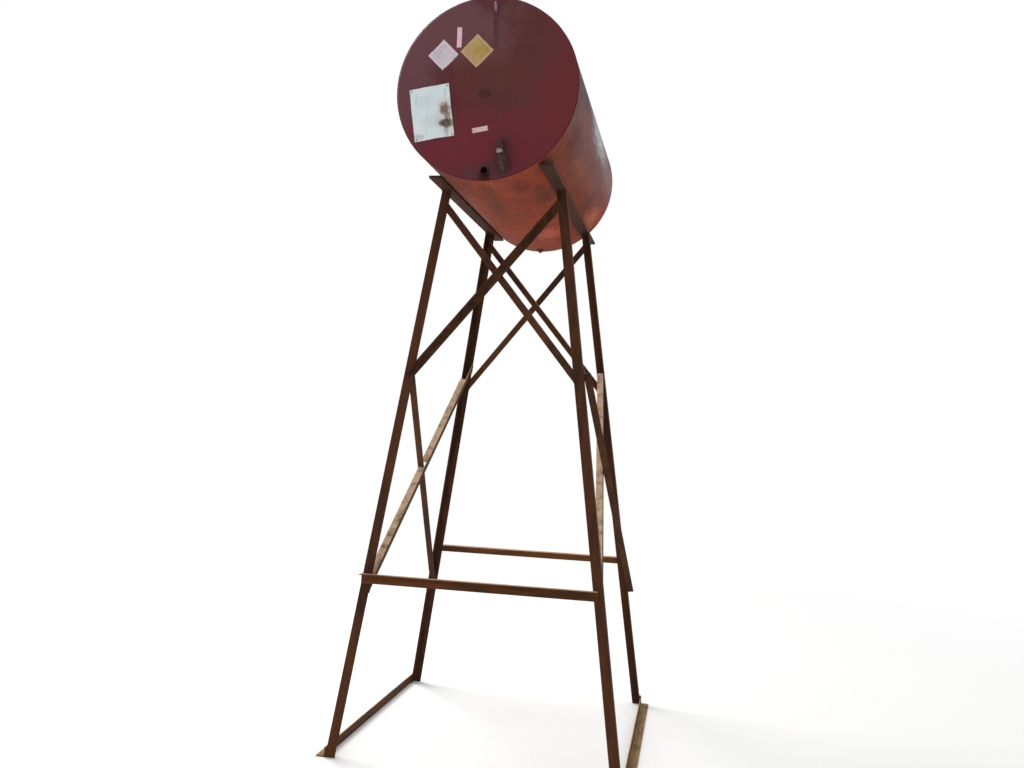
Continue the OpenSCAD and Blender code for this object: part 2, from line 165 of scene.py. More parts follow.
def rusty_steel(name, along, mill, rust, orange, dust_and_sunlight, dust_and_sunlight_depth, underside_shade=None):
    """Rusted mill steel: along squeezes the pattern on the axis that its rolling marks run on."""
    material, tree, shader, place = new_finish(name)
    streaks = stretched(tree, place, along)
    broad = grain(tree, streaks, 4.0, 5.0, 0.6, 0.4)
    blotch = grain(tree, streaks, 26.0, 8.0, 0.68)
    speck = grain(tree, place, 190.0, 5.0, 0.7)
    flake = grain(tree, place, 62.0, 6.0, 0.75, 0.8)
    soft, edges = rounding(tree, radius=0.0014)
    colour = coat(tree, window(tree, plus(tree, broad, blotch), 0.80, 1.16), mill, rust)
    bloom = times(tree, window(tree, flake, 0.52, 0.68), window(tree, blotch, 0.44, 0.62))
    colour = coat(tree, bloom, colour, orange, 0.75)
    colour = coat(tree, window(tree, speck, 0.56, 0.70), colour, tuple(c * 0.45 for c in mill), 0.45)
    rubbed_and_glint = times(tree, edges, window(tree, flake, 0.35, 0.6))
    colour = coat(tree, rubbed_and_glint, colour, tuple(c * 0.9 for c in orange), 0.6)
    rise = put(tree, "SeparateXYZ", {"Vector": put(tree, "NewGeometry").outputs["Normal"]}).outputs["Z"]
    # Faces that look up are paler: dust on them, and painted sunlight as well.
    settled_and_sunlit = times(tree, window(tree, rise, 0.12, 0.62), window(tree, blotch, 0.26, 0.60))
    colour = coat(tree, settled_and_sunlit, colour, dust_and_sunlight, dust_and_sunlight_depth)
    # Faces that look down take the underside colour: painted shade.
    if underside_shade:
        shaded = times(tree, window(tree, rise, -0.3, -0.9), window(tree, blotch, 0.68, 0.40))
        colour = coat(tree, shaded, colour, underside_shade, 0.80)
    pits = put(tree, "TexVoronoi", {"Vector": place, "Scale": 240.0}, feature="SMOOTH_F1")
    relief = plus(tree, times(tree, pits.outputs["Distance"], 0.5), plus(tree, flake, speck))
    rough = spread(tree, blotch, 0.35, 0.65, 0.60, 0.90)
    finish_off(tree, shader, colour, rough, relief, gloss=0.12, strength=0.5, height=0.0012, soft=soft)
    return material


def dress(material, *nodes):
    for node in nodes:
        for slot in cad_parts[node].material_slots:
            slot.material = material


def only(piece):
    bpy.ops.object.select_all(action="DESELECT")
    piece.select_set(True)
    bpy.context.view_layer.objects.active = piece


def keep(piece, name, material, smooth=35.0):
    """Names a finished piece, gives it its finish and puts it on the part."""
    only(piece)
    bpy.ops.object.transform_apply(location=True, rotation=True, scale=True)
    bpy.ops.object.shade_smooth_by_angle(angle=math.radians(smooth))
    piece.name = name
    piece.data.name = name
    piece.data.materials.clear()
    piece.data.materials.append(material)
    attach(piece, "root")
    return piece


welder = random.Random(1912)
ripple = 0.0028
bead_seat = 0.001


def lay_beads(name, runs, size, material):
    """Welds along runs of points: overlapping ripples of metal, as a hand-held rod leaves them."""
    route = bpy.data.curves.new(name, "CURVE")
    route.dimensions = "3D"
    route.bevel_depth = size
    route.bevel_resolution = 1
    route.use_fill_caps = True
    for run in runs:
        legs = [(b - a).length for a, b in zip(run, run[1:])]
        length = sum(legs)
        steps = max(4, round(length / ripple * 2))
        spline = route.splines.new("POLY")
        spline.points.add(steps)
        girth = welder.uniform(0.90, 1.12)
        for step in range(steps + 1):
            left = length * step / steps
            leg = 0
            while leg < len(legs) - 1 and left > legs[leg]:
                left -= legs[leg]
                leg += 1
            spot = run[leg].lerp(run[leg + 1], min(1.0, left / legs[leg]))
            sway = Vector([welder.uniform(-1, 1) for axis in range(3)]) * size * 0.10
            swell = (1.10 if step % 2 else 0.88) * girth * welder.uniform(0.94, 1.06)
            spline.points[step].co = (*(spot + sway), 1.0)
            spline.points[step].radius = swell * (0.55 if step in (0, steps) else 1.0)
    piece = bpy.data.objects.new(name, route)
    scene.collection.objects.link(piece)
    only(piece)
    bpy.ops.object.convert(target="MESH")
    return keep(bpy.context.active_object, name, material, smooth=60.0)


skid_steel = rusty_steel("skid_steel", along=(1.0, 0.22, 1.0), mill=(0.046, 0.020, 0.009),
                         rust=(0.098, 0.038, 0.013), orange=(0.190, 0.070, 0.020),
                         dust_and_sunlight=(0.340, 0.210, 0.090), dust_and_sunlight_depth=0.88)
dress(skid_steel, "left_skid", "right_skid")
bead_steel = rusty_steel("bead_steel", along=(1.0, 1.0, 1.0), mill=(0.034, 0.019, 0.013),
                         rust=(0.085, 0.038, 0.018), orange=(0.210, 0.080, 0.026),
                         dust_and_sunlight=(0.180, 0.112, 0.072), dust_and_sunlight_depth=0.5)
leg_width = 0.051
leg_thickness = 0.005
leg_low, leg_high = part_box("front_left_leg")
stand_height = leg_high.z
foot_x = -leg_low.x
foot_y = stand_middle - leg_low.y
top_x = leg_width - leg_high.x
top_y = stand_middle - leg_high.y + leg_width
lean_x = (foot_x - top_x) / stand_height
lean_y = (foot_y - top_y) / stand_height


def leg_corner(side, end, rise, in_x=0.0, in_y=0.0):
    """A point on a leg: its outer corner at a height, or so far in from that corner."""
    return Vector((
        side * (foot_x - lean_x * rise - in_x),
        stand_middle + end * (foot_y - lean_y * rise - in_y),
        rise,
    ))


foot_bead = 0.0042
foot_bead_low = 0.004
skid_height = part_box("left_skid")[1].z
foot_gap = -lean_x * skid_height * 0.5
foot_runs = []
for side in (-1, 1):
    for end in (-1, 1):
        rim = []
        for inward in (0.0, leg_width):
            low_end = leg_corner(side, end, foot_bead_low, -bead_seat, inward)
            high_end = leg_corner(side, end, skid_height, foot_gap, inward)
            foot_runs.append([low_end, high_end])
            rim.append(high_end)
        foot_runs.append(rim)
lay_beads("foot_welds", foot_runs, foot_bead, bead_steel)

# Legs: four lengths of 2 inch angle that lean both ways, so that their flanges lie in the
# faces of the stand. The rolling marks and the rust runs follow the steel down.
leg_steel = rusty_steel("leg_steel", along=(1.0, 1.0, 0.16), mill=(0.033, 0.014, 0.007),
                        rust=(0.078, 0.027, 0.010), orange=(0.165, 0.055, 0.016),
                        dust_and_sunlight=(0.330, 0.215, 0.130), dust_and_sunlight_depth=0.60)
dress(leg_steel, "front_left_leg", "front_right_leg", "back_left_leg", "back_right_leg")

# Crossbars: one angle across the front legs and one across the back, lapped onto the outside
# of the legs and welded across their ends, along their edges and behind the legs' toes.
crossbar_steel = rusty_steel("crossbar_steel", along=(0.20, 1.0, 1.0), mill=(0.062, 0.024, 0.009),
                             rust=(0.132, 0.046, 0.014), orange=(0.215, 0.072, 0.018),
                             dust_and_sunlight=(0.470, 0.320, 0.205), dust_and_sunlight_depth=0.90)
dress(crossbar_steel, "front_crossbar", "back_crossbar")
end_lean = math.atan(lean_y)
side_lean = math.atan(lean_x)
crossbar_low = 0.894
crossbar_lap = 0.024
crossbar_bead = 0.0034
front_crossbar_width = 0.051
back_crossbar_width = 0.038


class Face:
    """One face of the stand: X along it, Y up its slope, Z outwards from the legs."""

    def __init__(self, turn, depth, lean, half_low, half_top):
        around = Matrix.Translation((0.0, stand_middle, 0.0)) @ Matrix.Rotation(math.radians(turn), 4, "Z")
        leaning = Matrix.Rotation(math.pi / 2 - lean, 4, "X")
        self.place = around @ Matrix.Translation((0.0, -depth, 0.0)) @ leaning
        self.lean = lean
        self.half_low = half_low
        self.narrowing = (half_low - half_top) * math.cos(lean) / stand_height

    def half(self, rise):
        """Half the width of the face, so far up its slope."""
        return self.half_low - self.narrowing * rise

    def at(self, spot, out):
        """A spot on the face, so far out from the legs."""
        return self.place @ Vector((spot.x, spot.y, out))

    def bar_end(self, side, height, inset):
        """The middle of a bar's end, at a height and so far inside the leg's edge."""
        rise = height / math.cos(self.lean)
        return Vector((side * (self.half(rise) - inset), rise))

    def reach(self, side, corner, way, inset):
        """Where a line from a bar's corner comes to a line that lies so far inside the leg's edge."""
        room = self.half(corner.y) - inset - side * corner.x
        return corner + way * (room / (side * way.x + self.narrowing * way.y))

    def lap(self, side, end, way, width, surface=0.0, out=1):
        """Fillets where a bar lies on a leg: across its end, along its edges, and on the leg's toe."""
        across = Vector((-way.y, way.x)) * width / 2
        corners = (end - across, end + across)
        toes = [self.reach(side, corner, way, leg_width) for corner in corners]
        near = surface + out * bead_seat
        runs = [[self.at(corner, near), self.at(toe, near)] for corner, toe in zip(corners, toes)]
        runs.append([self.at(corner, near) for corner in corners])
        runs.append([self.at(toe, surface - out * bead_seat) for toe in toes])
        return runs


front_face = Face(0, foot_y, end_lean, foot_x, top_x)
back_face = Face(180, foot_y, end_lean, foot_x, top_x)
right_face = Face(90, foot_x, side_lean, foot_y, top_y)
left_face = Face(-90, foot_x, side_lean, foot_y, top_y)
crossbar_runs = []
for face, flush, width in ((front_face, -1, front_crossbar_width), (back_face, 1, back_crossbar_width)):
    rise = crossbar_low / math.cos(end_lean) + width / 2
    half = face.half(rise)
    crossbar_runs += face.lap(flush, Vector((flush * half, rise)), Vector((-flush, 0.0)), width)
    far = Vector((-flush * (half - leg_width + crossbar_lap), rise))
    crossbar_runs += face.lap(-flush, far, Vector((flush, 0.0)), width)
lay_beads("crossbar_welds", crossbar_runs, crossbar_bead, bead_steel)

# Braces: pairs of 1 1/2 inch angle that cross in the four faces, one of each pair outside the
# legs and one inside. On the left one is inside and the other, notched where they cross, is
# butted between the legs. All are welded with short fillets.
brace_steel = rusty_steel("brace_steel", along=(0.55, 0.55, 0.55), mill=(0.038, 0.017, 0.009),
                          rust=(0.092, 0.034, 0.012), orange=(0.190, 0.066, 0.019),
                          dust_and_sunlight=(0.560, 0.395, 0.255), dust_and_sunlight_depth=0.97)
dress(brace_steel, "front_outer_brace", "front_inner_brace", "back_outer_brace", "back_inner_brace",
      "left_front_brace", "left_back_brace", "right_front_brace", "right_back_brace")
brace_width = 0.038
brace_inset = 0.030
brace_bead = 0.0032
end_brace_top = 2.940
end_brace_low = 1.990
front_leg_top = 2.050
front_brace_low = 0.736
back_leg_top = 2.106
right_back_low = 0.940
left_back_low = 0.906
brace_runs = []
for face, start, finish, inside in (
    (front_face, (-1, end_brace_low), (1, end_brace_top), False),
    (front_face, (-1, end_brace_top), (1, end_brace_low), True),
    (back_face, (-1, end_brace_top), (1, end_brace_low), False),
    (back_face, (-1, end_brace_low), (1, end_brace_top), True),
    (left_face, (-1, front_brace_low), (1, front_leg_top), True),
    (right_face, (-1, front_leg_top), (1, front_brace_low), False),
    (right_face, (-1, right_back_low), (1, back_leg_top), True),
):
    ends = [face.bar_end(*start, brace_inset), face.bar_end(*finish, brace_inset)]
    for side, here, there in ((-1, ends[0], ends[1]), (1, ends[1], ends[0])):
        way = (there - here).normalized()
        surface = -leg_thickness if inside else 0.0
        brace_runs += face.lap(side, here, way, brace_width, surface, -1 if inside else 1)
butt_top = left_face.bar_end(-1, back_leg_top, brace_inset)
butt_low = left_face.bar_end(1, left_back_low, brace_inset)
for side, here, there in ((-1, butt_top, butt_low), (1, butt_low, butt_top)):
    way = (there - here).normalized()
    across = Vector((-way.y, way.x)) * brace_width / 2
    wall = [left_face.reach(side, corner, way, leg_thickness) for corner in (here - across, here + across)]
    for out in (-leg_width - bead_seat, -leg_width + leg_thickness + bead_seat):
        brace_runs.append([left_face.at(spot, out) for spot in wall])
lay_beads("brace_welds", brace_runs, brace_bead, bead_steel)

# Rails: two flat bars across the leg tops, which the tank lies on. Their undersides are painted
# nearly black as shade. The legs are welded round under them, and the shell is stitched to them.
rail_steel = rusty_steel("rail_steel", along=(1.0, 0.18, 1.0), mill=(0.036, 0.018, 0.012),
                         rust=(0.080, 0.030, 0.014), orange=(0.170, 0.052, 0.018),
                         dust_and_sunlight=(0.220, 0.140, 0.090), dust_and_sunlight_depth=0.5, underside_shade=(0.036, 0.012, 0.006))
dress(rail_steel, "left_rail", "right_rail")
leg_top_bead = 0.0034
under_rail = stand_height - bead_seat
top_runs = []
for side in (-1, 1):
    for end in (-1, 1):
        for skin in (-bead_seat, leg_thickness + bead_seat):
            top_runs.append([
                leg_corner(side, end, under_rail, leg_width, skin),
                leg_corner(side, end, under_rail, max(skin, 0.0), skin),
                leg_corner(side, end, under_rail, skin, leg_width),
            ])
lay_beads("leg_top_welds", top_runs, leg_top_bead, bead_steel)
shell_low, shell_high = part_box("tank_shell")
stitch_bead = 0.0042
stitch_length = 0.055
stitch_pitch = 0.290
stitch_inset = 0.045
stitch_seats = ((0.0065, 0.0024), (-0.0016, -0.0050))
stitch_runs = []
for node, side in (("left_rail", -1), ("right_rail", 1)):
    rail_low, rail_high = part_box(node)
    inner_edge = min(abs(rail_low.x), abs(rail_high.x))
    first = max(rail_low.y, shell_low.y) + stitch_inset
    last = min(rail_high.y, shell_high.y) - stitch_inset - stitch_length
    gaps = round((last - first) / stitch_pitch)
    for stitch in range(gaps + 1):
        y = first + stitch * (last - first) / gaps
        for across, rise in stitch_seats:
            x = side * (inner_edge + across)
            z = rail_high.z + rise
            stitch_runs.append([Vector((x, y, z)), Vector((x, y + stitch_length, z))])
lay_beads("rail_stitches", stitch_runs, stitch_bead, bead_steel)

# Tank shell: one sheet rolled into a cylinder and butt welded along a line high on the left.
# Its faded red oxide paint has gone chalky where the weather reaches it, and rust comes through.
# A few blots on it are painted shade, painted shadow and painted sky reflection.
tank_radius = (shell_high.x - shell_low.x) / 2
shell_middle = (shell_low.y + shell_high.y) / 2
shell_half = (shell_high.y - shell_low.y) / 2
tank_height = shell_low.z + tank_radius


def on_shell(angle, along, out=0.0):
    """A point of the shell: angle from the right-hand side, minus below, and along backwards."""
    turn = math.radians(angle)
    reach = tank_radius + out
    return Vector((reach * math.cos(turn), shell_middle + along, tank_height + reach * math.sin(turn)))


def patch(tree, place, centre, size, ragged, edge):
    """A blot around a point, with a torn edge: size is how far it reaches each way."""
    off = put(tree, "VectorMath", {0: place, 1: centre}, operation="SUBTRACT").outputs["Vector"]
    off = put(tree, "VectorMath", {0: off, 1: size}, operation="DIVIDE").outputs["Vector"]
    reach = put(tree, "VectorMath", {0: off}, operation="LENGTH").outputs["Value"]
    return window(tree, plus(tree, reach, ragged), 1.0 + edge, 1.0 - edge)


# Each blot: its angle and place along, its reach across and along, its depth and its colour.
# Most are rust, stains and fading; those marked below are painted shade, shadow and reflection.
rust_brown = (0.105, 0.034, 0.016)
shell_marks_and_painted_light = (
    (-93.0, -0.52, 0.034, 0.300, 0.80, rust_brown),
    (-98.0, -0.30, 0.030, 0.170, 0.70, rust_brown),
    (-104.0, -0.62, 0.020, 0.200, 0.60, (0.150, 0.042, 0.020)),
    (-71.0, -0.66, 0.048, 0.110, 0.90, (0.120, 0.020, 0.012)),
    (-62.0, -0.41, 0.042, 0.200, 0.85, rust_brown),
    (-37.0, 0.32, 0.060, 0.120, 0.80, rust_brown),
    (-50.0, -0.79, 0.055, 0.090, 0.85, (0.070, 0.024, 0.015)),
    (-21.0, -0.72, 0.070, 0.130, 0.60, (0.115, 0.056, 0.042)),
    (-35.0, -0.28, 0.090, 0.220, 0.60, (0.270, 0.072, 0.030)),
    (-27.0, -0.62, 0.080, 0.190, 0.80, (0.095, 0.024, 0.014)),
    (-20.0, -0.15, 0.110, 0.480, 0.70, (0.140, 0.074, 0.066)),
    (-28.0, 0.45, 0.075, 0.230, 0.60, (0.110, 0.050, 0.048)),
    (-73.5, 0.41, 0.070, 0.130, 1.00, (0.450, 0.098, 0.060)),
    (-39.0, 0.63, 0.080, 0.160, 0.95, (0.460, 0.125, 0.066)),
    (-66.0, -0.12, 0.080, 0.140, 0.55, (0.300, 0.046, 0.026)),
    (-118.5, 0.05, 0.014, 0.280, 0.45, (0.330, 0.130, 0.085)),
    (-86.0, -0.80, 0.010, 0.090, 0.40, (0.340, 0.120, 0.080)),
    # Pale chalk with a painted sky reflection over it, on the right-hand side.
    (6.0, 0.08, 0.095, 0.340, 0.95, (0.520, 0.560, 0.585)),
    (-3.0, 0.62, 0.090, 0.260, 0.60, (0.260, 0.215, 0.215)),
    # Painted shade with a bluish painted reflection, on the right-hand side near the front.
    (7.0, -0.64, 0.080, 0.300, 0.94, (0.056, 0.047, 0.070)),
    (-4.0, -0.84, 0.120, 0.080, 0.80, (0.100, 0.040, 0.042)),
    (150.0, 0.30, 0.080, 0.200, 0.60, rust_brown),
    (96.0, -0.30, 0.090, 0.075, 0.70, rust_brown),
    (84.0, 0.45, 0.070, 0.060, 0.65, rust_brown),
    (62.0, 0.55, 0.060, 0.160, 0.55, rust_brown),
    (196.0, -0.45, 0.070, 0.150, 0.55, rust_brown),
    # Painted shadow along the line where the left rail meets the shell.
    (-126.0, -0.05, 0.034, 0.900, 0.90, (0.042, 0.017, 0.012)),
    # Painted shade on the lower left of the shell near the front.
    (-139.0, -0.74, 0.240, 0.300, 1.00, (0.055, 0.013, 0.011)),
    (-38.0, -0.10, 0.042, 0.700, 0.45, (0.090, 0.026, 0.014)),
)


def red_oxide(name, weather):
    """The tank's faded paint: weather is how far its upper half has bleached."""
    material, tree, shader, place = new_finish(name)
    height = put(tree, "SeparateXYZ", {"Vector": place}).outputs["Z"]
    rise = spread(tree, height, tank_height - tank_radius, tank_height + tank_radius, -1.0, 1.0)
    broad = grain(tree, place, 3.2, 5.0, 0.55, 0.5)
    blotch = grain(tree, place, 11.0, 8.0, 0.62, 0.3)
    mottle = grain(tree, place, 30.0, 7.0, 0.68, 0.5)
    speck = grain(tree, place, 120.0, 6.0, 0.7)
    streak = grain(tree, stretched(tree, place, (0.35, 1.0, 0.35)), 34.0, 6.0, 0.65)
    run_down = grain(tree, stretched(tree, place, (0.5, 1.0, 0.22)), 16.0, 5.0, 0.6, 0.2)
    colour = coat(tree, window(tree, broad, 0.36, 0.64), (0.200, 0.034, 0.014), (0.275, 0.043, 0.018))
    colour = coat(tree, window(tree, blotch, 0.48, 0.68), colour, (0.285, 0.062, 0.028))
    colour = coat(tree, window(tree, run_down, 0.50, 0.68), colour, (0.150, 0.042, 0.020), 0.55)
    colour = coat(tree, window(tree, mottle, 0.52, 0.64), colour, (0.120, 0.030, 0.014), 0.65)
    colour = coat(tree, window(tree, mottle, 0.44, 0.34), colour, (0.330, 0.078, 0.032), 0.40)
    lifted = plus(tree, rise, plus(tree, swing(tree, run_down, 0.6), swing(tree, mottle, 0.5)))
    fade = window(tree, lifted, -0.62, -0.05)
    colour = coat(tree, fade, colour, (0.186, 0.104, 0.100), 0.82 * weather)
    lifted = plus(tree, plus(tree, rise, swing(tree, streak, 0.5)), swing(tree, broad, 0.7))
    chalk = window(tree, lifted, 0.0, 0.85)
    colour = coat(tree, chalk, colour, (0.345, 0.205, 0.175), 0.66 * weather)
    ragged = plus(tree, swing(tree, mottle, 2.6), swing(tree, speck, 0.6))
    worn = spread(tree, window(tree, mottle, 0.42, 0.56), 0.0, 1.0, 0.45, 1.0)
    for angle, along, across, reach, depth, tone in shell_marks_and_painted_light:
        mask = patch(tree, place, on_shell(angle, along), Vector((across, reach, across)), ragged, 0.25)
        colour = coat(tree, times(tree, mask, worn), colour, tone, depth)
    bare_and_glint = times(tree, window(tree, speck, 0.60, 0.70), window(tree, blotch, 0.46, 0.62))
    colour = coat(tree, bare_and_glint, colour, rust_brown, 0.75)
    dents = grain(tree, place, 4.5, 2.0, 0.5)
    scale = plus(tree, times(tree, blotch, 0.5), times(tree, speck, 0.35))
    relief = plus(tree, times(tree, dents, 7.0), scale)
    rough = spread(tree, plus(tree, blotch, speck), 0.7, 1.3, 0.55, 0.85)
    finish_off(tree, shader, colour, rough, relief, gloss=0.08, strength=0.4, height=0.0016)
    return material


shell_paint = red_oxide("shell_paint", weather=1.0)
dress(shell_paint, "tank_shell")
dress(red_oxide("back_paint", weather=0.45), "back_head")
seam_angle = 118.0
seam_bead = 0.0034
seam_sunk = 0.0012
seam_short = 0.004
seam_half = shell_half - seam_short
seam = [on_shell(seam_angle, along, -seam_sunk) for along in (-seam_half, seam_half)]
lay_beads("shell_seam", [seam], seam_bead, shell_paint)

# Outlet head: a flat pressed head in darker maroon paint that still has some gloss. It is
# browner in the middle, redder near the rim, and stained grey around the drain. Its upper left
# and left are pinker with a painted sky reflection, and the drain's bore is painted dark as shade.
head_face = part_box("front_head")[0].y
blot_deep = 0.2


def on_head(across, rise, out=0.0):
    """A point in front of the outlet head, measured from its middle."""
    return Vector((across, head_face - out, tank_height + rise))


def head_blots(tree, place, colour, ragged, edge, blots):
    """Blots on the head or a sheet on it, each by its place, its reach, its depth and its colour."""
    for across, rise, wide, tall, depth, tone in blots:
        size = Vector((wide, blot_deep, tall))
        mask = patch(tree, place, on_head(across, rise), size, ragged, edge)
        colour = coat(tree, mask, colour, tone, depth)
    return colour


head_paint, tree, shader, place = new_finish("head_paint")
broad = grain(tree, place, 3.4, 4.0, 0.5, 0.6)
blotch = grain(tree, place, 9.0, 7.0, 0.6, 0.3)
speck = grain(tree, place, 130.0, 6.0, 0.7)
streak = grain(tree, stretched(tree, place, (1.0, 1.0, 0.12)), 22.0, 5.0, 0.6)
ragged = plus(tree, swing(tree, blotch, 0.95), swing(tree, speck, 0.3))
colour = coat(tree, window(tree, broad, 0.36, 0.64), (0.098, 0.021, 0.025), (0.122, 0.020, 0.025))
colour = coat(tree, window(tree, streak, 0.50, 0.72), colour, (0.100, 0.034, 0.026), 0.45)
colour = head_blots(tree, place, colour, ragged, edge=0.5, blots=(
    (0.10, 0.20, 0.22, 0.34, 0.60, (0.090, 0.030, 0.026)),
    # The next two are a painted sky reflection, paler and pinker on the upper left and the left.
    (-0.20, 0.31, 0.28, 0.19, 0.75, (0.152, 0.063, 0.068)),
    (-0.39, 0.03, 0.12, 0.28, 0.70, (0.142, 0.060, 0.073)),
    (0.37, -0.14, 0.11, 0.28, 0.60, (0.150, 0.019, 0.026)),
    (0.20, -0.30, 0.26, 0.16, 0.60, (0.140, 0.018, 0.024)),
    (-0.10, -0.27, 0.30, 0.15, 0.65, (0.156, 0.019, 0.029)),
    (0.00, 0.06, 0.16, 0.10, 0.45, (0.108, 0.032, 0.022)),
    (-0.003, -0.030, 0.030, 0.022, 0.75, (0.050, 0.011, 0.014)),
    (0.040, 0.290, 0.012, 0.085, 0.60, (0.068, 0.026, 0.018)),
    (0.030, 0.330, 0.006, 0.050, 0.55, (0.060, 0.024, 0.017)),
    (-0.352, -0.060, 0.004, 0.060, 0.45, (0.070, 0.026, 0.020)),
    (-0.055, -0.235, 0.003, 0.030, 0.45, (0.070, 0.026, 0.020)),
    (0.022, -0.228, 0.003, 0.026, 0.45, (0.070, 0.026, 0.020)),
    (-0.030, -0.415, 0.075, 0.036, 0.50, (0.078, 0.034, 0.036)),
    (0.035, -0.400, 0.055, 0.045, 0.60, (0.062, 0.030, 0.030)),
    (0.105, -0.330, 0.045, 0.110, 0.60, (0.056, 0.024, 0.025)),
    # Painted shade: the near-black of the drain's open bore.
    (0.010, -0.440, 0.026, 0.034, 0.95, (0.028, 0.005, 0.003)),
))
chips = times(tree, window(tree, speck, 0.62, 0.71), window(tree, blotch, 0.48, 0.64))
colour = coat(tree, chips, colour, (0.085, 0.040, 0.025), 0.55)
dents = grain(tree, place, 4.0, 2.0, 0.5)
scale = plus(tree, times(tree, blotch, 0.4), times(tree, speck, 0.25))
relief = plus(tree, times(tree, dents, 8.0), scale)
rough = spread(tree, plus(tree, blotch, speck), 0.7, 1.3, 0.42, 0.68)
finish_off(tree, shader, colour, rough, relief, gloss=0.14, strength=0.35, height=0.0016)
dress(head_paint, "front_head")

# Head seams: a bead all round at each end, between the rim of the shell and the head's
# rounded edge, painted over with the tank.
rim_bead = 0.0030
rim_past = 0.0008
rim_sunk = 0.0022
rim_steps = 240
turns = [360.0 * step / rim_steps for step in range(rim_steps + 1)]
for name, end, paint, slot in (
    ("front_seam", -1, head_paint, "head_paint"),
    ("back_seam", 1, shell_paint, "shell_paint"),
):
    rim = [on_shell(turn, end * (shell_half + rim_past), -rim_sunk) for turn in turns]
    lay_beads(name, [rim], rim_bead, paint)

# Outlet: a coupling welded to the head, a screwed elbow that turns down, a zinc hexagon
# nipple and a small ball valve with a spout. All have weathered nearly black, and the nipple
# shows its pale zinc only in a painted highlight on its front.
# The drain is an open threaded coupling near the head's bottom edge, painted with the head.
dress(head_paint, "drain_coupling")


def worn_metal(name, metal, dull, stain, stain_depth, rough, shine=0.65, bare_and_glint=None):
    """Weathered metal, bright, dull and stained: a patch, if given, is a painted highlight, and all beyond
    it is dark.
    """
    material, tree, shader, place = new_finish(name)
    blotch = grain(tree, place, 130.0, 6.0, 0.6, 0.4)
    speck = grain(tree, place, 520.0, 4.0, 0.65)
    relief = plus(tree, blotch, speck)
    soft, edges = rounding(tree, radius=0.0010)
    colour = coat(tree, window(tree, blotch, 0.36, 0.66), metal, dull)
    colour = coat(tree, window(tree, relief, 0.98, 1.18), colour, stain, stain_depth)
    colour = coat(tree, edges, colour, metal, 0.5)
    if bare_and_glint:
        rubbed_and_glint = patch(tree, place, *bare_and_glint, plus(tree, blotch, -0.5), 0.25)
        colour = coat(tree, rubbed_and_glint, (0.062, 0.022, 0.020), colour)
    shader.inputs["Metallic"].default_value = shine
    roughness = spread(tree, blotch, 0.35, 0.65, *rough)
    finish_off(tree, shader, colour, roughness, relief, gloss=0.2, strength=0.25, height=0.0004, soft=soft)
    return material


zinc = worn_metal("weathered_zinc", metal=(0.40, 0.37, 0.35), dull=(0.28, 0.25, 0.235),
                  stain=(0.16, 0.09, 0.07), stain_depth=0.6, rough=(0.45, 0.70))
# The nipple is dark maroon except in a patch on its front, where its zinc shows as a painted highlight.
nipple_low, nipple_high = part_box("outlet_nipple")
nipple_middle = (nipple_low + nipple_high) / 2
glint_left = 0.004
glint_reach = Vector((0.018, 0.030, 0.011))
glint = Vector((nipple_middle.x - glint_left, nipple_low.y, nipple_middle.z))
nipple_zinc = worn_metal("nipple_zinc", metal=(0.40, 0.33, 0.30), dull=(0.29, 0.215, 0.195),
                         stain=(0.090, 0.040, 0.034), stain_depth=0.8, rough=(0.50, 0.75), shine=0.4,
                         bare_and_glint=(glint, glint_reach))
dress(nipple_zinc, "outlet_nipple")
outlet_iron = worn_metal("outlet_iron", metal=(0.088, 0.030, 0.026), dull=(0.056, 0.018, 0.017),
                         stain=(0.034, 0.013, 0.013), stain_depth=0.6, rough=(0.55, 0.80), shine=0.0)
dress(outlet_iron, "outlet_coupling", "outlet_elbow")
brass = worn_metal("tarnished_brass", metal=(0.074, 0.040, 0.028), dull=(0.046, 0.024, 0.021),
                   stain=(0.028, 0.016, 0.017), stain_depth=0.6, rough=(0.50, 0.75), shine=0.3)
dress(brass, "outlet_valve", "valve_stem")
lever_steel = worn_metal("lever_steel", metal=(0.090, 0.055, 0.045), dull=(0.050, 0.026, 0.026),
                         stain=(0.110, 0.040, 0.024), stain_depth=0.8, rough=(0.5, 0.8), shine=0.3)
dress(lever_steel, "valve_lever")
coupling_bead = 0.0036
coupling_seat = 0.0012
ring_steps = 48
turns = [2 * math.pi * step / ring_steps for step in range(ring_steps + 1)]
spokes = [Vector((math.cos(turn), 0.0, math.sin(turn))) for turn in turns]
coupling_rings = []
for node in ("outlet_coupling", "drain_coupling"):
    low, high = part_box(node)
    middle = Vector(((low.x + high.x) / 2, head_face - coupling_seat, (low.z + high.z) / 2))
    reach = (high.x - low.x) / 2 + coupling_seat
    coupling_rings.append([middle + spoke * reach for spoke in spokes])
lay_beads("coupling_welds", coupling_rings, coupling_bead, head_paint)
stem_low, stem_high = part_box("valve_stem")
stem_middle = (stem_low + stem_high) / 2
out_of_head = Matrix.Rotation(math.pi / 2, 4, "X")


def select_top(piece):
    """Selects the faces of a piece that face up while it is being modelled."""
    bpy.ops.mesh.select_all(action="DESELECT")
    shape = bmesh.from_edit_mesh(piece.data)
    for face in shape.faces:
        face.select_set(face.normal.z > 0.9)
    bmesh.update_edit_mesh(piece.data)


